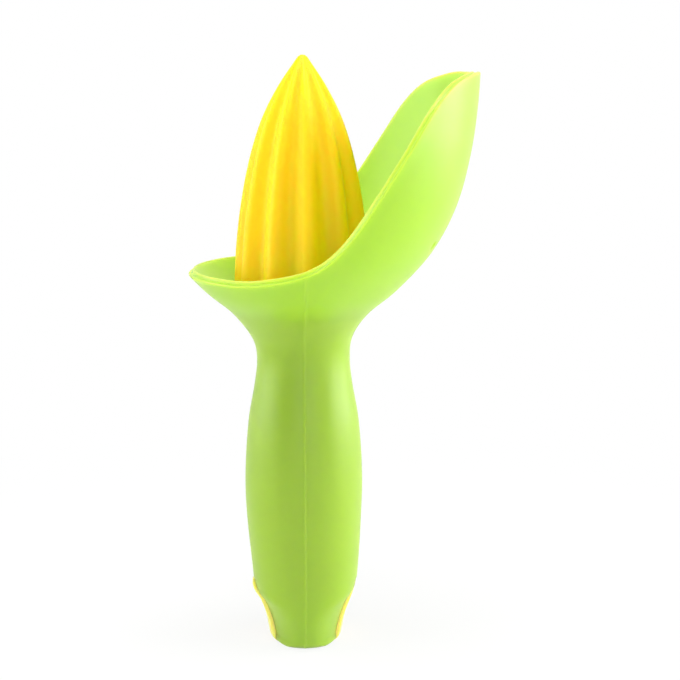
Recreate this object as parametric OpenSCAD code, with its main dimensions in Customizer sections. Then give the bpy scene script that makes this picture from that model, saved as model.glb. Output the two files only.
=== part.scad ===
/*
   Hand citrus reamer with a scoop: a fluted cone stands in a shallow bowl whose back wall
   rises into a leaf that catches the spray, on a round waisted grip.
   Z runs up the tool's axis from the flat butt; +X points to the tall leaf.
*/

/* [Grip] */
// Diameter at the belly, the fattest part of the grip
belly_d = 38.2; // [36:0.2:42]
// Height of the belly above the butt
belly_z = 56; // [50:1:62]
// Diameter of the neck, just under the bowl
neck_d = 29.8; // [28:0.2:33]
// Height of the neck above the butt
neck_z = 94.6; // [90:0.2:96]
// Diameter where the tail's side scoops begin
tail_d = 34.4; // [33:0.2:36]
// Height where the tail's side scoops begin
tail_z = 21; // [18:0.5:24]
// Thickness of the soft green skin over the yellow core
skin = 3; // [2.4:0.1:3.6]

/* [Tail] */
// Width left between the two scoops at the butt, along X
tail_end_w = 24; // [22:0.5:27]
// Width of the tail's cheeks near the butt, along Y
cheek_w = 30.8; // [28:0.2:32]
// Radius of the edge round the foot of the cheeks
butt_round = 3.4; // [2:0.2:4]
// Radius of the edge round the foot of the two scoops
scoop_round = 1.5; // [1:0.1:2]
// Half width of the core's bare face at the butt
window_foot_w = 8; // [7:0.5:9]
// Half width of the core's bare face at its rounded top
window_top_w = 5.6; // [5:0.2:6.5]
// Height of the top of the core's bare face
window_z = 20; // [18.5:0.5:22]
// Radius of the hole for a hook
hang_hole_r = 3.5; // [2.5:0.25:4]
// Height of the hook hole above the butt
hang_hole_z = 10; // [9:0.5:11]
// Height of the small bump at the top of the front bare face
bump_t = 1.1; // [0.5:0.1:1.4]

/* [Bowl and leaf] */
// Wall of the bowl and the leaf
wall = 2.6; // [2:0.1:3]
// Radius of the leaf at its tip
leaf_r = 55.4; // [50:0.2:60]
// Height of the leaf's tip
leaf_z = 185; // [175:1:195]
// Height of the low front lip
lip_z = 123.4; // [122:0.2:127]
// Gap between the cone's foot and the bowl's wall at the nearest place
foot_gap = 0.45; // [0.3:0.05:0.8]
// Distance of the bowl's centre in front of the grip's axis
bowl_shift = 0.75; // [0:0.05:1]
// Diameter of the blank round recess on the leaf's back
recess_d = 19; // [14:0.5:22]
// Depth of that recess
recess_t = 0.5; // [0.3:0.1:0.8]
// Height of that recess's centre
recess_z = 131; // [129:0.5:135]

/* [Reamer cone] */
// Radius over the crests at the cone's base
cone_r = 22; // [21:0.1:22.4]
// Height of the cone's tip
tip_z = 190; // [186:0.5:195]
// Number of flutes
flutes = 11; // [8:1:14]
// Depth of a flute as a share of the radius there
flute_depth = 0.125; // [0.08:0.005:0.14]
// Share of a flute's half width that is hollow; the rest is its rounded crest
flute_hollow = 0.84; // [0.7:0.02:0.9]
// Thickness of the cone's shell under a flute
shell = 2; // [1.6:0.1:2.4]
// Wall of the socket tube inside the cone
socket_wall = 2.2; // [1.8:0.1:2.6]
// Thickness of the webs between the socket tube and the shell
web_t = 1.8; // [1.2:0.1:2.4]

/* [Post] */
// Radius of the post that the cone pushes onto
post_r = 11.2; // [10.8:0.1:11.5]
// Height of the post's top
post_z = 148; // [140:0.5:150]
// Distance across the post's two flats, which take the twist
post_flats = 20; // [19:0.2:21]
// Radius of the blind bore down the core
core_bore_r = 8.2; // [7:0.1:8.6]
// Height of the bottom of that bore
core_bore_z = 32; // [28:1:40]
// Thickness of the core's flange at its rim
flange_t = 4; // [3:0.5:5]
// Height of green between that flange and the bowl's floor
flange_cover = 2.8; // [2.4:0.1:3.2]
// Clearance all round between the post and the cone's socket
push_fit = 0.08; // [0.05:0.01:0.1]
// Gap over the post's top in the cone's socket
roof_gap = 1; // [0.5:0.1:2]

/* [Hidden] */
$fn = 96;

leaf_green = [0.66, 0.86, 0.30];
lemon_yellow = [0.98, 0.83, 0.10];
core_yellow = [0.95, 0.80, 0.16];

belly_r = belly_d / 2;
neck_r = neck_d / 2;
tail_r = tail_d / 2;

// Longer than the object is wide, for what has to pass right across it
reach = 3 * leaf_r;

// How far a cut runs past the face that it opens
cut = 1;

function mix(a, b, t) = a + (b - a) * t;

// A smooth curve through the given points, with the same number of short lines in each span
function beyond(p, i) =
    i < 0 ? 2 * p[0] - p[1] :
    i >= len(p) ? 2 * p[len(p) - 1] - p[len(p) - 2] :
    p[i];
function on_span(a, b, c, d, t) =
    (2 * b + (c - a) * t + (2 * a - 5 * b + 4 * c - d) * t * t
    + (3 * b - a - 3 * c + d) * t * t * t) / 2;
function smooth(p, steps = 5) = [
    for (i = [0 : len(p) - 2])
        for (j = [0 : steps - 1])
            on_span(beyond(p, i - 1), p[i], p[i + 1], beyond(p, i + 2), j / steps),
    p[len(p) - 1]
];

// The same curve moved towards the axis by a wall, square to the surface
function inset(c, w) = [
    for (i = [0 : len(c) - 1])
        let (
            a = c[max(i - 1, 0)],
            b = c[min(i + 1, len(c) - 1)],
            along = (b - a) / norm(b - a)
        )
        c[i] + w * [-along[1], along[0]]
];

// Radius of a profile at a height, and height at a radius
function radius_at(c, z) = lookup(z, [for (p = c) [p[1], p[0]]]);
function height_at(c, r) = lookup(r, c);

// Grip, as [radius, height]: tail, belly, shoulder and neck
grip_curve = smooth([
    [tail_r, tail_z],
    [mix(tail_r, belly_r, 0.77), mix(tail_z, belly_z, 0.55)],
    [belly_r, belly_z],
    [mix(neck_r, belly_r, 0.72), mix(belly_z, neck_z, 0.46)],
    [mix(neck_r, belly_r, 0.22), mix(belly_z, neck_z, 0.78)],
    [neck_r, neck_z]
]);

// Bowl and leaf from the neck up, as shares of the way out and up to the leaf's tip. The
// first two points draw the bowl in by its shift, so that it leaves the neck without a ledge.
flare = [
    [0.03, 0.08], [0.17, 0.169], [0.405, 0.26], [0.665, 0.394],
    [0.84, 0.55], [0.938, 0.724], [0.985, 0.89], [1.003, 1.06]
];
bowl_curve = smooth(concat(
    [[neck_r - bowl_shift, neck_z], [neck_r - bowl_shift / 2, mix(neck_z, leaf_z, 0.04)]],
    [for (s = flare) [mix(neck_r, leaf_r, s[0]), mix(neck_z, leaf_z, s[1])]]
));
bowl_inside = inset(bowl_curve, wall);
bowl_top = bowl_curve[len(bowl_curve) - 1][1];

// The neck runs straight up until the bowl has grown past it on every side
neck_top = height_at(bowl_curve, neck_r + bowl_shift) + 1;

// The floor lies where the bowl is just wide enough for the cone's foot
floor_r = cone_r + bowl_shift + foot_gap;
floor_z = height_at(bowl_inside, floor_r);

// The core's flange lies under the floor, a skin's depth inside the bowl at its nearest place
flange_z = floor_z - flange_cover;
flange_r = radius_at(bowl_curve, flange_z - flange_t) - bowl_shift - skin;

// Rim seen from the side: low round the front lip, then up the leaf's two edges to its tip,
// as shares of the leaf's radius and of the rise from lip to tip
rim = [
    [-0.69, 0], [-0.5, 0], [-0.32, 0.004], [-0.14, 0.033], [0, 0.07], [0.11, 0.132], [0.22, 0.24],
    [0.36, 0.43], [0.505, 0.632], [0.64, 0.825], [0.75, 0.935], [0.86, 0.985], [0.94, 1], [1.01, 0.975]
];
rim_curve = smooth([for (s = rim) [s[0] * leaf_r, mix(lip_z, leaf_z, s[1])]]);

// Tail, as [half width, height]: the side scoops along X and the fuller cheeks along Y
end_w = tail_end_w / 2;
scoop_curve = smooth([
    [end_w - scoop_round, 0],
    [end_w - 0.13 * scoop_round, 0.8 * scoop_round],
    [mix(end_w, tail_r, 0.04), 0.18 * tail_z],
    [mix(end_w, tail_r, 0.26), 0.36 * tail_z],
    [mix(end_w, tail_r, 0.6), 0.58 * tail_z],
    [mix(end_w, tail_r, 0.91), 0.76 * tail_z],
    [tail_r, tail_z]
]);
cheek_r = cheek_w / 2;
cheek_foot_r = 0.96 * cheek_r;
butt_r = cheek_foot_r - butt_round;
cheek_curve = concat(
    [for (a = [0 : 15 : 75]) [butt_r + butt_round * sin(a), butt_round * (1 - cos(a))]],
    smooth([
        [cheek_foot_r, butt_round],
        [mix(cheek_r, tail_r, 0.45), 0.45 * tail_z],
        [mix(cheek_r, tail_r, 0.85), 0.72 * tail_z],
        [tail_r, tail_z]
    ])
);

// How far past the axis a scoop's face is struck, which sets how round the face is
struck_past = 6;

// Bump at the top of the front bare face, as shares of the way up it and of its height. Both
// ends lie under the face, so that the bump rises out of it.
bump_foot = 0.64 * window_z;
bump_curve = smooth([
    for (s = [[0, -0.3], [0.28, 0.5], [0.56, 1], [0.78, 0.6], [1, -0.3]])
        let (z = mix(bump_foot, window_z, s[0]))
        [radius_at(scoop_curve, z) + s[1] * bump_t, z]
]);

// Cone over its crests, as shares of the base radius and of the height
cone_shape = [
    [1, 0], [0.985, 0.12], [0.955, 0.24], [0.9, 0.37], [0.813, 0.51],
    [0.7, 0.64], [0.552, 0.76], [0.343, 0.875], [0.135, 0.965]
];
crest_curve = smooth([for (s = cone_shape) [s[0] * cone_r, mix(floor_z, tip_z, s[1])]], 3);
cavity_curve = inset([for (p = crest_curve) [p[0] * (1 - flute_depth), p[1]]], shell);
tube_r = post_r + push_fit + socket_wall;
socket_z = post_z + roof_gap;
hollow_z = mix(floor_z, tip_z, 0.86);

// Narrowest width at which the hollow round the socket tube is still opened
least_pocket = 0.6;

// Short lines across one flute
flute_steps = 8;

// Depth of a flute across its width: 0 at a crest, 1 at its middle, with a rounded crest
function flute_cut(u) =
    abs(u) < flute_hollow
        ? 1 - u * u / flute_hollow
        : (1 - abs(u)) * (1 - abs(u)) / (1 - flute_hollow);

// A ring of the fluted cone; the flutes run out just below the tip
function flute_fade(z) = min(1, (tip_z - z) / (0.1 * (tip_z - floor_z)));
function flute_ring(p) = [
    for (k = [0 : flutes * flute_steps - 1])
        let (
            u = 2 * (k % flute_steps) / flute_steps - 1,
            r = p[0] * (1 - flute_depth * flute_fade(p[1]) * flute_cut(u)),
            a = 360 * k / (flutes * flute_steps) - 90
        )
        [r * cos(a), r * sin(a), p[1]]
];

module turned(points) {
    rotate_extrude() polygon(points);
}

// Outline turned about an axis past the middle, which makes a flatter face on one side
module struck(outline, side) {
    foot = outline[0][1];
    top = outline[len(outline) - 1][1];
    translate([-side * struck_past, 0, 0])
        turned(concat([[0, foot]], [for (p = outline) [p[0] + struck_past, p[1]]], [[0, top]]));
}

// Tail: full cheeks, cut back by a struck face on the front and on the back
module tail_solid() {
    intersection() {
        turned(concat([[0, 0]], cheek_curve, [[0, tail_z]]));
        struck(scoop_curve, 1);
        struck(scoop_curve, -1);
    }
}

// Grip, from a little way down inside the tail up to the neck's top
module grip_solid() {
    under = tail_z - cut;
    turned(concat(
        [[0, under], [tail_r - cut, under]], grip_curve, [[neck_r, neck_top], [0, neck_top]]
    ));
}

module bowl_solid() {
    translate([-bowl_shift, 0, 0])
        turned(concat([[0, neck_z]], bowl_curve, [[0, bowl_top]]));
}

module bowl_hollow() {
    above = [for (p = bowl_inside) if (p[1] > floor_z) p];
    over = bowl_top + wall;
    translate([-bowl_shift, 0, 0])
        turned(concat([[0, floor_z], [floor_r, floor_z]], above, [[leaf_r, over], [0, over]]));
}

module under_rim() {
    under = neck_z - cut;
    rotate([90, 0, 0])
        linear_extrude(height = reach, center = true)
            polygon(concat([[-reach, under], [-reach, lip_z]], rim_curve, [[reach, under]]));
}

// Blank round recess that follows the leaf's back
module recess_cut() {
    half = recess_d / 4;
    rise = radius_at(bowl_curve, recess_z + half) - radius_at(bowl_curve, recess_z - half);
    lean = atan(rise / (2 * half));
    translate([-bowl_shift, 0, 0])
        difference() {
            translate([radius_at(bowl_curve, recess_z), 0, recess_z])
                rotate([0, 90 + lean, 0])
                    cylinder(d = recess_d, h = 4 * wall, center = true);
            turned(concat([[0, neck_z]], inset(bowl_curve, recess_t), [[0, bowl_top]]));
        }
}

// Outline of the core's bare face, an arch that widens to the butt
module window_prism() {
    spring_z = window_z - window_top_w;
    rotate([90, 0, 90])
        linear_extrude(height = reach, center = true)
            union() {
                translate([0, spring_z]) circle(r = window_top_w);
                polygon([
                    [-window_foot_w, -cut], [window_foot_w, -cut],
                    [window_top_w, spring_z], [-window_top_w, spring_z]
                ]);
            }
}

module post_solid(gap, foot, top) {
    intersection() {
        translate([0, 0, foot]) cylinder(r = post_r + gap, h = top - foot);
        translate([-reach / 2, -post_flats / 2 - gap, foot])
            cube([reach, post_flats + 2 * gap, top - foot]);
    }
}

// Round body of the core, a skin's depth inside the grip, with its flange under the bowl
module core_body() {
    in_tail = [for (p = scoop_curve) if (p[1] > skin && p[1] < tail_z) [p[0] - skin, p[1]]];
    in_grip = [for (p = grip_curve) [p[0] - skin, p[1]]];
    turned(concat(
        [[0, skin], [in_tail[0][0], skin]], in_tail, in_grip,
        [[neck_r - skin, neck_top], [flange_r, flange_z - flange_t], [flange_r, flange_z], [0, flange_z]]
    ));
}

// Tongue that shows as the two bare faces, flush with the green but for the front bump
module core_tongue() {
    intersection() {
        window_prism();
        union() {
            tail_solid();
            intersection() {
                struck(bump_curve, -1);
                translate([-reach, -reach / 2, 0]) cube([reach, reach, tail_z]);
            }
        }
    }
}

module scoop_body() {
    color(leaf_green)
        difference() {
            union() {
                tail_solid();
                grip_solid();
                intersection() {
                    bowl_solid();
                    under_rim();
                }
            }
            bowl_hollow();
            recess_cut();
            core_body();
            window_prism();
            post_solid(0, flange_z - cut, post_z);
        }
}

module grip_core() {
    color(core_yellow)
        difference() {
            union() {
                core_body();
                core_tongue();
                post_solid(0, flange_z - cut, post_z);
            }
            translate([0, 0, core_bore_z]) cylinder(r = core_bore_r, h = post_z - core_bore_z + cut);
            translate([0, 0, hang_hole_z])
                rotate([0, 90, 0])
                    cylinder(r = hang_hole_r, h = reach, center = true);
        }
}

// Solid fluted cone, closed by a small rounded tip
module fluted_solid() {
    top = crest_curve[len(crest_curve) - 1];
    cap = [for (t = [0.35, 0.65, 0.85]) [top[0] * pow(1 - t, 0.6), mix(top[1], tip_z, t)]];
    rings = concat(crest_curve, cap);
    count = flutes * flute_steps;
    last = len(rings) * count;
    points = concat([for (p = rings) each flute_ring(p)], [[0, 0, floor_z], [0, 0, tip_z]]);
    side = [
        for (j = [0 : len(rings) - 2])
            for (k = [0 : count - 1])
                let (a = j * count + k, b = j * count + (k + 1) % count)
                each [[a, a + count, b], [b, a + count, b + count]]
    ];
    bottom = [for (k = [0 : count - 1]) [last, k, (k + 1) % count]];
    crown = [for (k = [0 : count - 1]) [last + 1, last - count + (k + 1) % count, last - count + k]];
    polyhedron(points, concat(side, bottom, crown));
}

// Hollow between the socket tube and the shell, crossed by four webs
module shell_pocket() {
    inside = [for (p = cavity_curve) if (p[1] > floor_z && p[0] > tube_r + least_pocket) p];
    mouth = floor_z - cut;
    roof = inside[len(inside) - 1][1];
    difference() {
        turned(concat([[tube_r, mouth], [inside[0][0], mouth]], inside, [[tube_r, roof]]));
        for (a = [45, 135])
            rotate([0, 0, a])
                translate([-cone_r, -web_t / 2, floor_z + web_t])
                    cube([2 * cone_r, web_t, tip_z - floor_z]);
    }
}

// Hollow of the cone over the end of its socket
module crown_hollow() {
    start = socket_z - cut / 2;
    widest = post_flats / 2 - cut;
    inside = [for (p = cavity_curve) if (p[1] > start && p[1] < hollow_z) [min(p[0], widest), p[1]]];
    turned(concat([[0, start], [inside[0][0], start]], inside, [[0, hollow_z]]));
}

module reamer_cone() {
    color(lemon_yellow)
        difference() {
            fluted_solid();
            post_solid(push_fit, floor_z - cut, socket_z);
            shell_pocket();
            crown_hollow();
        }
}

scoop_body();
grip_core();
reamer_cone();
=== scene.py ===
"""Hand citrus reamer with scoop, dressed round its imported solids. Lengths are in millimetres
until a mesh is written; the frame and every finished mesh are in metres."""

import math

import bmesh
import bpy
import numpy as np
from mathutils import Matrix, Vector


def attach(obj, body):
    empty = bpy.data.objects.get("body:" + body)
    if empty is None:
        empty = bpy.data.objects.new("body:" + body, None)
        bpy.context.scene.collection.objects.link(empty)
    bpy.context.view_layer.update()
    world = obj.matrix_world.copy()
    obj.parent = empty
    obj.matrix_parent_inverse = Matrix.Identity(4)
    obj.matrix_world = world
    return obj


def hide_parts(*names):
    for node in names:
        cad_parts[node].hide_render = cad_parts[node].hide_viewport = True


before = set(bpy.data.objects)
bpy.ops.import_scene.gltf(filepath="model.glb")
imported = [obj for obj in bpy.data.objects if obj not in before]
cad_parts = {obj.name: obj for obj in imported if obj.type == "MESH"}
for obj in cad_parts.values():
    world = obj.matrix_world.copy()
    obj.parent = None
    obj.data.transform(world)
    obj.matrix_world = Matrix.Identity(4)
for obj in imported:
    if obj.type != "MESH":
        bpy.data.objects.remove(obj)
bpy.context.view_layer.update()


# The green moulding: grip, tail cheeks, bowl and leaf in one piece of soft lime plastic.
# It is moulded round the yellow core in two halves that meet on the plane X = 0, and it
# is thickest under the bowl and thinnest over the grip.

MM = 0.001

# Grip, bowl and leaf, all turned about the grip's axis
TAIL_R, TAIL_Z = 17.2, 21.0
BELLY_R, BELLY_Z = 19.1, 56.0
NECK_R, NECK_Z = 14.9, 94.6
LEAF_R, LEAF_Z = 55.4, 185.0
LIP_Z = 123.4
FLOOR_Z = 114.63
WALL, SKIN = 2.6, 3.0

# The bowl stands a little in front of the axis, and the neck leans over to it
BOWL_SHIFT, SHIFT_RISE = 0.75, 14.0

# Rounded edges of the rim, and the shallow hollow along the middle of it
RIM_ROUND, RIM_HOLLOW = 0.4, 0.55

# Tail: full cheeks at -Y and +Y, and at -X and +X a scooped face, struck as an arc from a
# centre beyond the axis. The green beside the core's bare faces lies lower than the core
CHEEK_R = 15.4
CHEEK_FOOT_R = 0.96 * CHEEK_R
BUTT_ROUND = 3.4
CHEEK_BLEND = 1.4
TAIL_END, SCOOP_ROUND = 12.1, 2.6
STRUCK_PAST = 6.0
FACE_DROP = 1.15
DROP_TOP, DROP_TOP_FADE = 18.5, 5.0
DROP_FOOT, DROP_FOOT_FADE = -0.5, 4.0
TAIL_SHIFT, TAIL_SHIFT_TOP = 0.4, 48.0

# Parting line where the two halves meet, and the blank marks on the leaf's back
PARTING_HEIGHT, PARTING_HALF, PARTING_START = 0.2, 0.36, 0.6
RECESS_R, RECESS_DEPTH, RECESS_EDGE, RECESS_Z = 9.5, 0.5, 0.45, 131.0
DIMPLE_TURN, DIMPLE_Z = math.radians(23.5), 133.0
DIMPLE_BALL_R, DIMPLE_DEPTH = 2.6, 0.75

# What the core takes up inside
POST_R, POST_HALF_FLATS = 11.2, 10.0
FLANGE_R, FLANGE_T, FLANGE_Z = 16.2, 4.0, 111.83
NECK_TOP = 102.05
SEAT_GAP = 0.05

COLUMNS = 384
COLUMN_BUNCHING = 0.6
RIM_SEARCH_STEPS = 3000
TINY = 1e-6


def mix(a, b, t):
    return a + (b - a) * t


def smoothstep(t):
    t = np.clip(t, 0, 1)
    return t * t * (3 - 2 * t)


def curve(points, steps=12):
    """A rounded curve through the points, with the same number of short steps in each span."""
    p = np.array(points, float)
    p = np.vstack([2 * p[:1] - p[1:2], p, 2 * p[-1:] - p[-2:-1]])
    t = (np.arange(steps) / steps)[:, None]
    spans = [
        (2 * b + (c - a) * t + (2 * a - 5 * b + 4 * c - d) * t ** 2
         + (3 * b - a - 3 * c + d) * t ** 3) / 2
        for a, b, c, d in zip(p, p[1:], p[2:], p[3:])
    ]
    return np.vstack(spans + [p[-2:-1]])


# Outside of the grip and the bowl, as radius and height. A point between two named places is
# given by its share of the difference in radius, and of the way up
belly_shares = [(0.77, 0.55)]
neck_shares = [(0.72, 0.46), (0.22, 0.78)]
flare_shares = [
    (0.03, 0.08), (0.17, 0.169), (0.405, 0.26), (0.665, 0.394),
    (0.84, 0.55), (0.938, 0.724), (0.985, 0.89), (1.003, 1.06),
]
side = curve(
    [(TAIL_R, TAIL_Z)]
    + [(mix(TAIL_R, BELLY_R, a), mix(TAIL_Z, BELLY_Z, b)) for a, b in belly_shares]
    + [(BELLY_R, BELLY_Z)]
    + [(mix(NECK_R, BELLY_R, a), mix(BELLY_Z, NECK_Z, b)) for a, b in neck_shares]
    + [(NECK_R, NECK_Z)]
    + [(mix(NECK_R, LEAF_R, a), mix(NECK_Z, LEAF_Z, b)) for a, b in flare_shares]
)
side_run = np.concatenate([[0], np.cumsum(np.hypot(*np.diff(side, axis=0).T))])
side_slope = np.gradient(side, axis=0)
side_slope /= np.hypot(*side_slope.T)[:, None]


def wall_point(run, depth=0):
    """Radius and height at a distance along the outside, at a depth into the wall."""
    r, z = (np.interp(run, side_run, side[:, i]) for i in (0, 1))
    dr, dz = (np.interp(run, side_run, side_slope[:, i]) for i in (0, 1))
    return r - depth * dz, z + depth * dr


neck_run = np.interp(NECK_Z, side[:, 1], side_run)
recess_run = np.interp(RECESS_Z, side[:, 1], side_run)
floor_run = np.interp(FLOOR_Z, wall_point(side_run, WALL)[1], side_run)

# Rim seen from the side: low round the front lip, then up the leaf's two edges to its tip
rim_shares = [
    (-0.69, 0), (-0.5, 0), (-0.32, 0.004), (-0.14, 0.033), (0, 0.07), (0.11, 0.132),
    (0.22, 0.24), (0.36, 0.43), (0.505, 0.632), (0.64, 0.825), (0.75, 0.935),
    (0.86, 0.985), (0.94, 1), (1.01, 0.975),
]
rim = curve([(a * LEAF_R, mix(LIP_Z, LEAF_Z, b)) for a, b in rim_shares])

# Columns bunch together at the parting line, at the recess and opposite it
even = np.arange(COLUMNS) * 2 * math.pi / COLUMNS
angle = even - COLUMN_BUNCHING / 4 * np.sin(4 * even)
cos, sin = np.cos(angle), np.sin(angle)

# Where each column meets the rim: the first place up the middle of the wall that is over it
runs = np.linspace(floor_run, side_run[-1], RIM_SEARCH_STEPS)
mid_r, mid_z = wall_point(runs, WALL / 2)
above = mid_z[:, None] - np.interp(mid_r[:, None] * cos - BOWL_SHIFT, rim[:, 0], rim[:, 1])
first, column = np.argmax(above > 0, axis=0), np.arange(COLUMNS)
over, under = above[first, column], above[first - 1, column]
rim_run = runs[first] - over * (runs[1] - runs[0]) / np.maximum(over - under, TINY)

# The rounded edge takes more of a column's length where the rim climbs past it
rim_r = wall_point(rim_run, WALL / 2)[0]
climb = (np.roll(rim_run, -1) - np.roll(rim_run, 1)) / (
    np.mod(np.roll(angle, -1) - np.roll(angle, 1), 2 * math.pi) * rim_r)
round_run = RIM_ROUND * np.sqrt(1 + climb ** 2)
edge_run = rim_run - round_run


def ring(r, z, centre=0.0):
    """One row of a surface round an axis, which may stand off along X."""
    return np.array([r * cos + centre, r * sin, z * np.ones(COLUMNS)])


def tail_shift(z):
    """How far the tail stands towards +X, which dies away up the grip."""
    return TAIL_SHIFT * smoothstep((TAIL_SHIFT_TOP - z) / (TAIL_SHIFT_TOP - TAIL_Z))


def bowl_ring(run, depth=0):
    """One row of the grip or the bowl, at a distance along the outside."""
    r, z = wall_point(run, depth)
    return ring(r, z, tail_shift(z) - BOWL_SHIFT * smoothstep((z - NECK_Z) / SHIFT_RISE))


cheek_side = curve([
    (CHEEK_FOOT_R, BUTT_ROUND), (mix(CHEEK_R, TAIL_R, 0.45), 0.45 * TAIL_Z),
    (mix(CHEEK_R, TAIL_R, 0.85), 0.72 * TAIL_Z), (TAIL_R, TAIL_Z),
])
scoop_side = curve([
    (TAIL_END, SCOOP_ROUND), (TAIL_END + 0.3, 4.0), (12.85, 6.6), (13.7, 9.9), (14.95, 13.4),
    (16.1, 16.6), (17.0, 19.2), (TAIL_R, TAIL_Z),
])
# The core's face at -X stands up in a low bump: share of its height, and height above the butt
bump_side = curve([(0, 14.6), (0.45, 16.0), (0.9, 17.2), (1, 18.4), (0.8, 19.5), (0, 20.8)], 4)
BUMP_WITHIN = math.cos(2 * math.pi / 3)  # 60 degrees either side of -X


def tail_reach(z, foot_r, foot_round, line):
    """Reach of a cheek or a scooped face: its rounded edge at the butt, then its own line."""
    if z < foot_round:
        return foot_r - foot_round + math.sqrt(foot_round ** 2 - (foot_round - z) ** 2)
    return np.interp(z, line[:, 1], line[:, 0])


def tail_ring(z, drop=0.0, bump=0.0):
    """The tail is round at the top; below, full cheeks with a scooped face on each side."""
    cheek = tail_reach(z, CHEEK_FOOT_R, BUTT_ROUND, cheek_side)
    scoop = tail_reach(z, TAIL_END, SCOOP_ROUND, scoop_side)
    scoop = scoop - (
        drop * smoothstep((DROP_TOP - z) / DROP_TOP_FADE)
        * smoothstep((z - DROP_FOOT) / DROP_FOOT_FADE))
    across = STRUCK_PAST * np.abs(cos)
    struck = np.sqrt(across ** 2 - STRUCK_PAST ** 2 + (scoop + STRUCK_PAST) ** 2) - across
    # The corner between cheek and face is blended, from nothing at the butt's flat
    near = np.maximum(CHEEK_BLEND * z / (z + 1) - np.abs(struck - cheek), 0)
    blend = near ** 2 / (4 * CHEEK_BLEND)
    raised = bump * np.interp(z, bump_side[:, 1], bump_side[:, 0]) * (cos < BUMP_WITHIN)
    return ring(np.minimum(struck, cheek) - blend + raised, z, TAIL_SHIFT)


# Rows close together at the butt's rounded edges, then even
tail_steps = [0, 0.02, 0.08, 0.2, 0.38, 0.62, 0.92, 1.28, 1.7, 2.2, 2.8, 3.4]
tail_steps += list(np.arange(4.2, TAIL_Z - 0.2, 0.8))


def tail_rows(drop=0.0, bump=0.0):
    """The flat butt from its centre outwards, then the tail up to the grip."""
    butt = [tail_ring(0.0, drop) * [[f], [f], [1]] for f in (0, 0.5, 0.8, 0.95)]
    return butt + [tail_ring(z, drop, bump) for z in tail_steps]


rows = tail_rows(drop=FACE_DROP)
rows += [bowl_ring(run) for run in np.linspace(0, neck_run, 36)]

# The bowl's outside up to the rim's rounded edge, with short steps past the recess: each
# stretch is given by its two ends and the number of places along it
recess_foot, recess_head = (mix(neck_run, edge_run, t) for t in (0.27, 0.52))
stretches = [
    (neck_run, recess_foot, 16), (recess_foot, recess_head, 42), (recess_head, edge_run, 24)]
for low, high, places in stretches:
    rows += [bowl_ring(mix(low, high, t)) for t in np.linspace(0, 1, places)[1:]]
rows.pop()  # where the rim's first row goes
outside_rows = len(rows)

# Rim: two rounded edges, and the hollow between them
quarter = np.radians(np.linspace(0, 90, 6))
rows += [
    bowl_ring(rim_run - round_run * (1 - math.sin(a)), RIM_ROUND * (1 - math.cos(a)))
    for a in quarter
]
rows += [
    bowl_ring(rim_run - RIM_HOLLOW * (1 - (2 * t - 1) ** 2), mix(RIM_ROUND, WALL - RIM_ROUND, t))
    for t in (0.12, 0.3, 0.5, 0.7, 0.88)
]
rows += [
    bowl_ring(rim_run - round_run * (1 - math.sin(a)), WALL - RIM_ROUND * (1 - math.cos(a)))
    for a in quarter[::-1]
]

# Inside wall down to the floor, floor, and the post's hole in it
rows += [bowl_ring(mix(edge_run, floor_run, t), WALL) for t in np.linspace(0, 1, 40)[1:]]
post_r = np.minimum(POST_R, POST_HALF_FLATS / np.maximum(np.abs(sin), TINY)) + SEAT_GAP
wall_foot, post_edge = rows[-1], ring(post_r, FLOOR_Z)
rows += [mix(wall_foot, post_edge, t) for t in (0.1, 0.4, 0.7, 0.95, 1)]

# Seat of the core, from its flange down to the skin under it
seat = [
    (FLANGE_R + SEAT_GAP, FLANGE_Z + SEAT_GAP), (FLANGE_R + SEAT_GAP, FLANGE_Z - FLANGE_T),
    (NECK_R - SKIN + SEAT_GAP, NECK_TOP), (NECK_R - SKIN + SEAT_GAP, NECK_Z),
    *[(np.interp(z, side[:, 1], side[:, 0]) - SKIN + SEAT_GAP, z) for z in range(90, 21, -6)],
    *[(np.interp(z, scoop_side[:, 1], scoop_side[:, 0]) - SKIN + SEAT_GAP, z)
      for z in (18, 15, 12, 9, 6, SKIN)],
    (0, SKIN - SEAT_GAP),
]
rows.append(ring(post_r, FLANGE_Z + SEAT_GAP))
rows += [ring(r, z) for r, z in seat]

# The parting line stands a hair proud; the blank round recess lies in the leaf's back
for row in range(outside_rows):
    x, y, z = rows[row]
    r = np.hypot(x, y)
    if r.min() > 1:
        proud = PARTING_HEIGHT * np.exp(-(x / PARTING_HALF) ** 2) * smoothstep(z / PARTING_START)
        slope_r, slope_z = (np.interp(z, side[:, 1], side_slope[:, i]) for i in (0, 1))
        from_recess = np.hypot(np.interp(z, side[:, 1], side_run) - recess_run, y)
        depth = RECESS_DEPTH * (x > 0) * smoothstep(
            (RECESS_R + RECESS_EDGE / 2 - from_recess) / RECESS_EDGE)
        rows[row] = np.array([
            x * (1 + proud / r) - depth * slope_z * x / r,
            y * (1 + proud / r) - depth * slope_z * y / r,
            z + depth * slope_r,
        ])


def turned_mesh(rows, columns):
    """A flat grid whose rows are laid on the given rings; its two ends meet and are joined."""
    bm = bmesh.new()
    bmesh.ops.create_grid(bm, x_segments=columns, y_segments=len(rows) - 1, size=0.5)
    for v in bm.verts:
        column = round((v.co.x + 0.5) * columns) % columns
        row = round((v.co.y + 0.5) * (len(rows) - 1))
        v.co = Vector(rows[row][:, column]) * MM
    bmesh.ops.remove_doubles(bm, verts=bm.verts, dist=1e-7)
    bmesh.ops.recalc_face_normals(bm, faces=bm.faces)
    return bm


def as_object(name, bm):
    mesh = bpy.data.meshes.new(name)
    bm.to_mesh(mesh)
    bm.free()
    piece = bpy.data.objects.new(name, mesh)
    bpy.context.scene.collection.objects.link(piece)
    return piece


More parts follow.
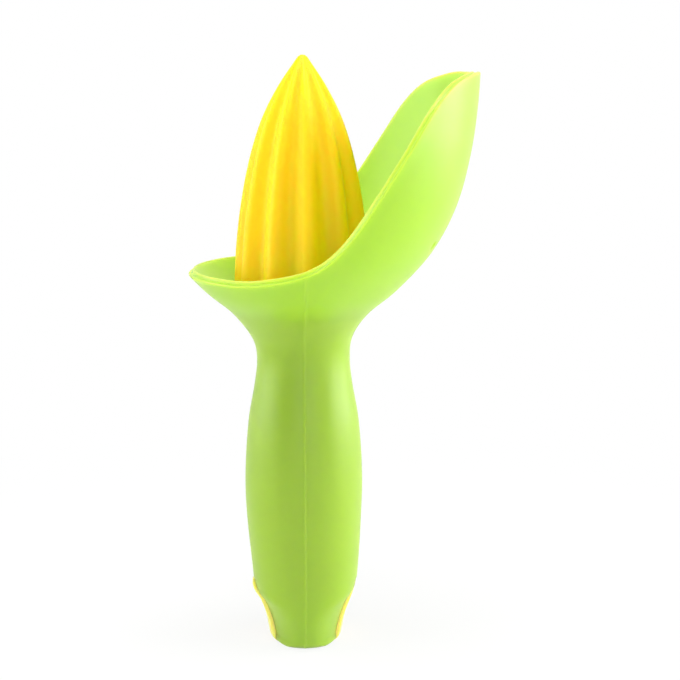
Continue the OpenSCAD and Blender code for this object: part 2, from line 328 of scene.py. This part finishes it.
def push_out(bm, faces, way):
    """Extrudes the faces along a vector, into a closed solid."""
    far = bmesh.ops.extrude_face_region(bm, geom=faces)["geom"]
    bmesh.ops.translate(bm, verts=[v for v in far if isinstance(v, bmesh.types.BMVert)], vec=way)
    bmesh.ops.recalc_face_normals(bm, faces=bm.faces)


def carve(piece, *cutters, how="DIFFERENCE"):
    """Cuts the cutters out of the piece for good, or joins them to it, and takes them away."""
    for cutter in cutters:
        cut = piece.modifiers.new("cut", "BOOLEAN")
        cut.operation, cut.solver, cut.object = how, "EXACT", cutter
    solid = piece.evaluated_get(bpy.context.evaluated_depsgraph_get())
    piece.data = bpy.data.meshes.new_from_object(solid)
    piece.data.name = piece.name
    piece.modifiers.clear()
    for cutter in cutters:
        bpy.data.objects.remove(cutter)


# The arch of the core's bare faces, and the hairline between it and the green
WINDOW_FOOT, WINDOW_TOP, WINDOW_Z = 6.6, 5.4, 20.0
HAIRLINE = 0.07
CUT_PAST = 1.0


def window_cutter(gap):
    """The arch of the core's two bare faces, right through the tail along X."""
    spring = WINDOW_Z - WINDOW_TOP
    foot, top = WINDOW_FOOT + gap, WINDOW_TOP + gap
    turns = np.radians(np.linspace(0, 180, 33))
    arch = [(-foot, -CUT_PAST), (foot, -CUT_PAST)]
    arch += [(top * math.cos(a), spring + top * math.sin(a)) for a in turns]
    bm = bmesh.new()
    face = bm.faces.new([bm.verts.new((-LEAF_R * MM, y * MM, z * MM)) for y, z in arch])
    push_out(bm, [face], (2 * LEAF_R * MM, 0, 0))
    return as_object("window_cutter", bm)


def dimple_cutter(hand):
    """A ball that leaves a small round dimple on one side of the leaf's back."""
    r, z = wall_point(np.interp(DIMPLE_Z, side[:, 1], side_run), DIMPLE_DEPTH - DIMPLE_BALL_R)
    centre = Vector((r * math.cos(DIMPLE_TURN) - BOWL_SHIFT, hand * r * math.sin(DIMPLE_TURN), z))
    bm = bmesh.new()
    bmesh.ops.create_uvsphere(
        bm, u_segments=48, v_segments=24, radius=DIMPLE_BALL_R * MM,
        matrix=Matrix.Translation(centre * MM))
    return as_object("dimple_cutter", bm)


scoop = as_object("lime_scoop_and_grip", turned_mesh(rows, COLUMNS))
carve(scoop, window_cutter(HAIRLINE), dimple_cutter(-1), dimple_cutter(1))


def linear(code):
    """An sRGB hex colour as linear red, green, blue and alpha."""
    parts = [int(code[i:i + 2], 16) / 255 for i in (0, 2, 4)]
    return [c / 12.92 if c <= 0.04045 else ((c + 0.055) / 1.055) ** 2.4 for c in parts] + [1]


def node(tree, kind, settings=(), **links):
    """Adds a node; a link's value is a plain value or another node's output socket."""
    made = tree.nodes.new(kind)
    for key, value in dict(settings).items():
        setattr(made, key, value)
    for key, value in links.items():
        socket = made.inputs[int(key[1:]) if key[0] == "_" else key.replace("_", " ")]
        if isinstance(value, bpy.types.NodeSocket):
            tree.links.new(value, socket)
        else:
            socket.default_value = value
    return made


DRIFT_MM = 30
SHEEN_SPREAD = 0.04


def moulded_plastic(name, colour, shade, roughness, grain_mm, grain_depth, **shader):
    """Moulded plastic: slow drift of tone in the melt and a fine spark-eroded grain."""
    material = bpy.data.materials.new(name)
    material.use_nodes = True
    tree = material.node_tree
    tree.nodes.clear()
    place = node(tree, "ShaderNodeTexCoord").outputs["Object"]
    drift = node(tree, "ShaderNodeTexNoise", Vector=place, Scale=1 / (DRIFT_MM * MM), Detail=2.0)
    tone = node(
        tree, "ShaderNodeMix", {"data_type": "RGBA"},
        Factor=drift.outputs[0], _6=linear(colour), _7=linear(shade))
    grain = node(tree, "ShaderNodeTexNoise", Vector=place, Scale=1 / (grain_mm * MM), Detail=3.0)
    bump = node(
        tree, "ShaderNodeBump", Strength=1.0, Distance=grain_depth * MM,
        Height=grain.outputs[0])
    sheen = node(
        tree, "ShaderNodeMapRange", Value=grain.outputs[0],
        To_Min=roughness - SHEEN_SPREAD, To_Max=roughness + SHEEN_SPREAD)
    surface = node(
        tree, "ShaderNodeBsdfPrincipled", Base_Color=tone.outputs[2],
        Roughness=sheen.outputs["Result"], Normal=bump.outputs["Normal"], **shader)
    node(tree, "ShaderNodeOutputMaterial", Surface=surface.outputs["BSDF"])
    return material


SHARP_DEGREES = 35


def finish_surface(piece, material):
    """Smooth shading with crisp edges, and one material all over."""
    piece.data.shade_smooth()
    piece.data.set_sharp_from_angle(angle=math.radians(SHARP_DEGREES))
    piece.data.materials.clear()
    piece.data.materials.append(material)


# Soft-touch elastomer over polypropylene, moulded satin: a broad dull shine, and light that
# spreads in it and comes through the thin leaf
finish_surface(scoop, moulded_plastic(
    "lime_satin_elastomer", "9CBE3B", "98BB38", roughness=0.38, grain_mm=0.6, grain_depth=0.004,
    Subsurface_Weight=1.0, Subsurface_Radius=(0.9, 1.0, 0.35), Subsurface_Scale=9 * MM,
    IOR=1.42))
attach(scoop, "handle")
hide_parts("scoop_body")


# The yellow core: one rigid polypropylene moulding that runs up the grip, with a flange
# under the bowl's floor and a post that the cone is pushed on. It shows as that post when
# the cone is off, and as two bare faces at the tail with a hole through them for a hook.

POST_TOP, POST_CHAMFER, POST_MIDDLE = 148.0, 0.6, 130.0
BORE_R, BORE_MIDDLE, BORE_Z = 8.2, 90.0, 32.0
HANG_R, HANG_Z = 3.5, 10.0

core_rows = [ring(f, SKIN) for f in (0, 4)]
core_rows += [ring(r - 2 * SEAT_GAP, z) for r, z in seat[-2:1:-1]]
core_rows += [ring(FLANGE_R, FLANGE_Z - FLANGE_T), ring(FLANGE_R, FLANGE_Z)]
post = post_r - 2 * SEAT_GAP
core_rows += [
    ring(post, z) for z in (FLANGE_Z, FLANGE_Z + 1, POST_MIDDLE, POST_TOP - POST_CHAMFER)]
core_rows += [ring(post - POST_CHAMFER, POST_TOP), ring(BORE_R + POST_CHAMFER, POST_TOP)]
core_rows += [
    ring(BORE_R, z) for z in (POST_TOP - POST_CHAMFER, POST_MIDDLE, BORE_MIDDLE, BORE_Z + 1)]
core_rows += [ring(BORE_R - 1, BORE_Z), ring(0, BORE_Z)]
core = as_object("yellow_grip_core", turned_mesh(core_rows, COLUMNS))

# The tongue fills the arch through the tail, and its ends are the two bare faces
tongue_rows = tail_rows(bump=1.0) + [ring(r, TAIL_Z, TAIL_SHIFT) for r in (TAIL_R, 8, 0)]
tongue = as_object("tongue", turned_mesh(tongue_rows, COLUMNS))
carve(tongue, window_cutter(0), how="INTERSECT")


def hang_hole_cutter():
    """The round hole for a hook, through the tongue along X."""
    bm = bmesh.new()
    bmesh.ops.create_cone(
        bm, cap_ends=True, segments=64, radius1=HANG_R * MM, radius2=HANG_R * MM,
        depth=2 * LEAF_R * MM, matrix=Matrix.Translation((0, 0, HANG_Z * MM))
        @ Matrix.Rotation(math.pi / 2, 4, "Y"))
    return as_object("hang_hole_cutter", bm)


carve(core, tongue, how="UNION")
carve(core, hang_hole_cutter())

# Polypropylene from a plain satin mould: even, waxy, with a dull shine
finish_surface(core, moulded_plastic(
    "yellow_polypropylene", "FCEA80", "F8E578", roughness=0.4, grain_mm=0.5, grain_depth=0.003,
    Subsurface_Weight=1.0, Subsurface_Radius=(1.0, 0.8, 0.3), Subsurface_Scale=4 * MM, IOR=1.49))
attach(core, "handle")
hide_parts("grip_core")


# The reamer cone: a hollow moulding in satin lemon polypropylene with eleven rounded flutes
# that die out towards the tip. It is pushed down on the core's post by the socket tube
# inside it, which four webs tie to the shell.

CONE_R, TIP_Z = 22.0, 190.0
CONE_FOOT_Z = FLOOR_Z + 0.01
NOSE_R, NOSE_TURN = 2.0, 35.0
BASE_ROUND = 0.5
FLUTES, FLUTE_COLUMNS = 11, 24
FLUTE_DEPTH, FLUTE_FADE = 0.145, 0.1
FLUTE_CREST, FLUTE_CREASE = 0.5, 0.5
FLUTE_TURN = math.radians(4.5)
SHELL, SOCKET_WALL, WEB_T = 2.0, 2.2, 1.8
SHELL_SHARE = 0.8
SOCKET_Z = 149.0
PUSH_FIT = 0.08
LEAST_POCKET = 0.6

cone_shares = [
    (1, 0), (0.985, 0.12), (0.955, 0.24), (0.9, 0.37), (0.813, 0.51),
    (0.7, 0.64), (0.552, 0.76), (0.343, 0.875), (0.14, 0.962),
]
nose_foot = math.radians(NOSE_TURN)
cone_side = curve(
    [(r * CONE_R, mix(CONE_FOOT_Z, TIP_Z, z)) for r, z in cone_shares]
    + [(NOSE_R * math.cos(nose_foot), TIP_Z - NOSE_R + NOSE_R * math.sin(nose_foot))]
)
cone_columns = FLUTES * FLUTE_COLUMNS
turn = np.arange(cone_columns) * 2 * math.pi / cone_columns
crest_turn = turn + FLUTE_TURN - math.pi / 2

# Depth of a flute from 0 on its crest to 1 in its crease: it leans over more and more until
# the crest's share of the way is past, and then less and less, so both turns are rounded
steps = np.linspace(0, 1, 201)
lean = np.minimum(steps / FLUTE_CREST, (1 - steps) / FLUTE_CREASE)
fall = np.concatenate([[0], np.cumsum((lean[1:] + lean[:-1]) / 2)])
aside = 1 - np.abs(np.mod(turn * FLUTES / (2 * math.pi), 1) * 2 - 1)
flute_cut = np.interp(aside, steps, fall / fall[-1])


def cone_ring(r, z):
    """One row of the cone; the flutes are a share of its radius, and fade at the tip."""
    fade = min(1, (TIP_Z - z) / (FLUTE_FADE * (TIP_Z - FLOOR_Z)))
    fluted = r * (1 - FLUTE_DEPTH * fade * flute_cut)
    return np.array([
        fluted * np.cos(crest_turn), fluted * np.sin(crest_turn), z * np.ones(cone_columns)])


base_edge = np.radians(np.linspace(0, 72, 5))
nose_edge = np.radians(np.linspace(NOSE_TURN, 90, 8)[1:])
cone_rows = [cone_ring(f * (CONE_R - BASE_ROUND), CONE_FOOT_Z) for f in (0, 0.4, 0.8)]
cone_rows += [
    cone_ring(
        CONE_R - BASE_ROUND * (1 - math.sin(a)), CONE_FOOT_Z + BASE_ROUND * (1 - math.cos(a)))
    for a in base_edge
]
cone_rows += [cone_ring(r, z) for r, z in cone_side if z > CONE_FOOT_Z + BASE_ROUND]
cone_rows += [
    cone_ring(NOSE_R * math.cos(a), TIP_Z - NOSE_R + NOSE_R * math.sin(a)) for a in nose_edge]
cone = as_object("lemon_reamer_cone", turned_mesh(cone_rows, cone_columns))


def socket_cutter():
    """The keyed socket: round with two flats, closed at the top."""
    bm = bmesh.new()
    made = bmesh.ops.create_circle(bm, segments=96, radius=(POST_R + PUSH_FIT) * MM, cap_ends=True)
    flat = (POST_HALF_FLATS + PUSH_FIT) * MM
    for v in made["verts"]:
        v.co = (v.co.x, max(-flat, min(flat, v.co.y)), (CONE_FOOT_Z - CUT_PAST) * MM)
    push_out(bm, bm.faces[:], (0, 0, (SOCKET_Z - CONE_FOOT_Z + CUT_PAST) * MM))
    return as_object("socket_cutter", bm)


def pocket_cutter(start):
    """A quarter of the hollow between tube and shell, less half a web at each end."""
    tube = POST_R + PUSH_FIT + SOCKET_WALL
    web = WEB_T / (tube + SHELL_SHARE * CONE_R)  # half its thickness, as a turn
    shell = [(r * (1 - FLUTE_DEPTH) - SHELL, z) for r, z in cone_side[::6]]
    shell = [(r, z) for r, z in shell if r > tube + LEAST_POCKET]
    section = [(tube, CONE_FOOT_Z - CUT_PAST), (shell[0][0], CONE_FOOT_Z - CUT_PAST), *shell]
    section += [(tube, shell[-1][1])]
    bm = bmesh.new()
    face = bm.faces.new([bm.verts.new((r * MM, 0, z * MM)) for r, z in section])
    bmesh.ops.rotate(
        bm, verts=bm.verts, cent=(0, 0, 0), matrix=Matrix.Rotation(start + web, 3, "Z"))
    bmesh.ops.spin(
        bm, geom=[face, *face.edges, *face.verts], cent=(0, 0, 0), axis=(0, 0, 1),
        angle=math.pi / 2 - 2 * web, steps=16, use_merge=False, use_duplicate=False)
    bmesh.ops.recalc_face_normals(bm, faces=bm.faces)
    return as_object("pocket_cutter", bm)


carve(cone, socket_cutter(), *[pocket_cutter(math.radians(a)) for a in (45, 135, 225, 315)])

# Polypropylene from a satin mould: saturated and clean, with a soft shine on the crests, and
# warm where light spreads through the thin flutes
finish_surface(cone, moulded_plastic(
    "lemon_satin_polypropylene", "FFD200", "FECE00", roughness=0.55, grain_mm=0.8,
    grain_depth=0.001, Subsurface_Weight=1.0, Subsurface_Radius=(1.0, 0.45, 0.06),
    Subsurface_Scale=3 * MM, IOR=1.36))
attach(cone, "head")
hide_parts("reamer_cone")


# The floor: a plain sheet of white paper. What the camera sees of it is white, less a share
# near the object that is left to the lamps and so keeps the object's shadow.

FLOOR_HALF = 4.0
SHADOW_REACH, WHITE_SHARE = 0.25, 0.86

bm = bmesh.new()
bmesh.ops.create_grid(bm, x_segments=1, y_segments=1, size=FLOOR_HALF)
floor = as_object("white_floor", bm)
paper = bpy.data.materials.new("white_paper")
paper.use_nodes = True
tree = paper.node_tree
tree.nodes.clear()
path = node(tree, "ShaderNodeLightPath").outputs
clear = node(
    tree, "ShaderNodeMath", {"operation": "MAXIMUM"}, _0=path["Is Camera Ray"],
    _1=path["Is Transmission Ray"])
seen = node(
    tree, "ShaderNodeMath", {"operation": "MAXIMUM"}, _0=clear.outputs[0],
    _1=path["Is Glossy Ray"])
lit = node(tree, "ShaderNodeBsdfDiffuse", Color=linear("F0F0F0"))
glow = node(tree, "ShaderNodeEmission", Color=(1, 1, 1, 1), Strength=1.0)
away = node(
    tree, "ShaderNodeVectorMath", {"operation": "LENGTH"},
    _0=node(tree, "ShaderNodeTexCoord").outputs["Object"])
bright = node(
    tree, "ShaderNodeMapRange", {"interpolation_type": "SMOOTHSTEP"}, Value=away.outputs["Value"],
    From_Min=0.0, From_Max=SHADOW_REACH, To_Min=WHITE_SHARE, To_Max=1.0)
share = node(
    tree, "ShaderNodeMath", {"operation": "MULTIPLY"}, _0=seen.outputs[0],
    _1=bright.outputs["Result"])
both = node(
    tree, "ShaderNodeMixShader", _0=share.outputs[0], _1=lit.outputs[0], _2=glow.outputs[0])
node(tree, "ShaderNodeOutputMaterial", Surface=both.outputs[0])
floor.data.materials.append(paper)


# The studio: a large soft box at each side, a small one above and a wide one in front, all
# aimed at the middle of the object, in a white room that is dim but for what is seen of it.

MIDDLE = (0.0, 0.0, 0.11)


def soft_box(name, place, width, height, watts):
    lamp = bpy.data.lights.new(name, "AREA")
    lamp.shape, lamp.size, lamp.size_y, lamp.energy = "RECTANGLE", width, height, watts
    box = bpy.data.objects.new(name, lamp)
    box.location = place
    box.rotation_euler = (Vector(MIDDLE) - Vector(place)).to_track_quat("-Z", "Y").to_euler()
    bpy.context.scene.collection.objects.link(box)


soft_box("right_box", (0.7, 0.0, 0.2), width=0.7, height=0.8, watts=10.3)
soft_box("left_box", (-0.7, 0.0, 0.22), width=0.7, height=0.8, watts=6.1)
soft_box("top_box", (0.0, -0.06, 0.6), width=0.3, height=0.3, watts=2.7)
soft_box("front_box", (0.1, -0.9, 0.25), width=0.8, height=0.6, watts=3.0)

# The wall behind shows white in the plastic's shine as well; the rest of the room stays dim
DIM = 0.09
WALL_BEHIND = 0.6

world = bpy.data.worlds.new("white_room")
world.use_nodes = True
tree = world.node_tree
tree.nodes.clear()
path = node(tree, "ShaderNodeLightPath").outputs
direction = node(
    tree, "ShaderNodeSeparateXYZ", Vector=node(tree, "ShaderNodeTexCoord").outputs["Generated"])
behind = node(
    tree, "ShaderNodeMapRange", {"interpolation_type": "SMOOTHSTEP"}, Value=direction.outputs["Y"],
    From_Min=0.0, From_Max=WALL_BEHIND)
mirrored = node(
    tree, "ShaderNodeMath", {"operation": "MULTIPLY"}, _0=path["Is Glossy Ray"],
    _1=behind.outputs["Result"])
clear = node(
    tree, "ShaderNodeMath", {"operation": "MAXIMUM"}, _0=path["Is Camera Ray"],
    _1=path["Is Transmission Ray"])
seen = node(
    tree, "ShaderNodeMath", {"operation": "MAXIMUM"}, _0=clear.outputs[0], _1=mirrored.outputs[0])
room = node(
    tree, "ShaderNodeMix", {"data_type": "RGBA"}, Factor=seen.outputs[0],
    _6=(DIM, DIM, DIM, 1), _7=(1, 1, 1, 1))
sky = node(tree, "ShaderNodeBackground", Color=room.outputs[2], Strength=1.0)
node(tree, "ShaderNodeOutputWorld", Surface=sky.outputs[0])
bpy.context.scene.world = world
bpy.context.scene.view_settings.view_transform = "Standard"


# The camera, where the photograph was taken from: square to the leaf's side, some 0.4 m away
# and nearly as high as the cone's tip. Its place and lens were fitted to the outlines.

CAMERA_PLACE = Vector((-10.2, -412.5, 185.2)) * MM
CAMERA_AIM = Vector((11.76, 0.0, 100.4)) * MM
FOCAL_PIXELS, PHOTO_PIXELS, SENSOR = 1312.5, 680, 36.0
ROLL = math.radians(0.13)

camera = bpy.data.cameras.new("photo_camera")
camera.sensor_width = SENSOR
camera.lens = SENSOR * FOCAL_PIXELS / PHOTO_PIXELS
viewer = bpy.data.objects.new("photo_camera", camera)
look = (CAMERA_AIM - CAMERA_PLACE).to_track_quat("-Z", "Y").to_matrix().to_4x4()
viewer.matrix_world = (
    Matrix.Translation(CAMERA_PLACE) @ look @ Matrix.Rotation(ROLL, 4, "Z"))
bpy.context.scene.collection.objects.link(viewer)
bpy.context.scene.camera = viewer
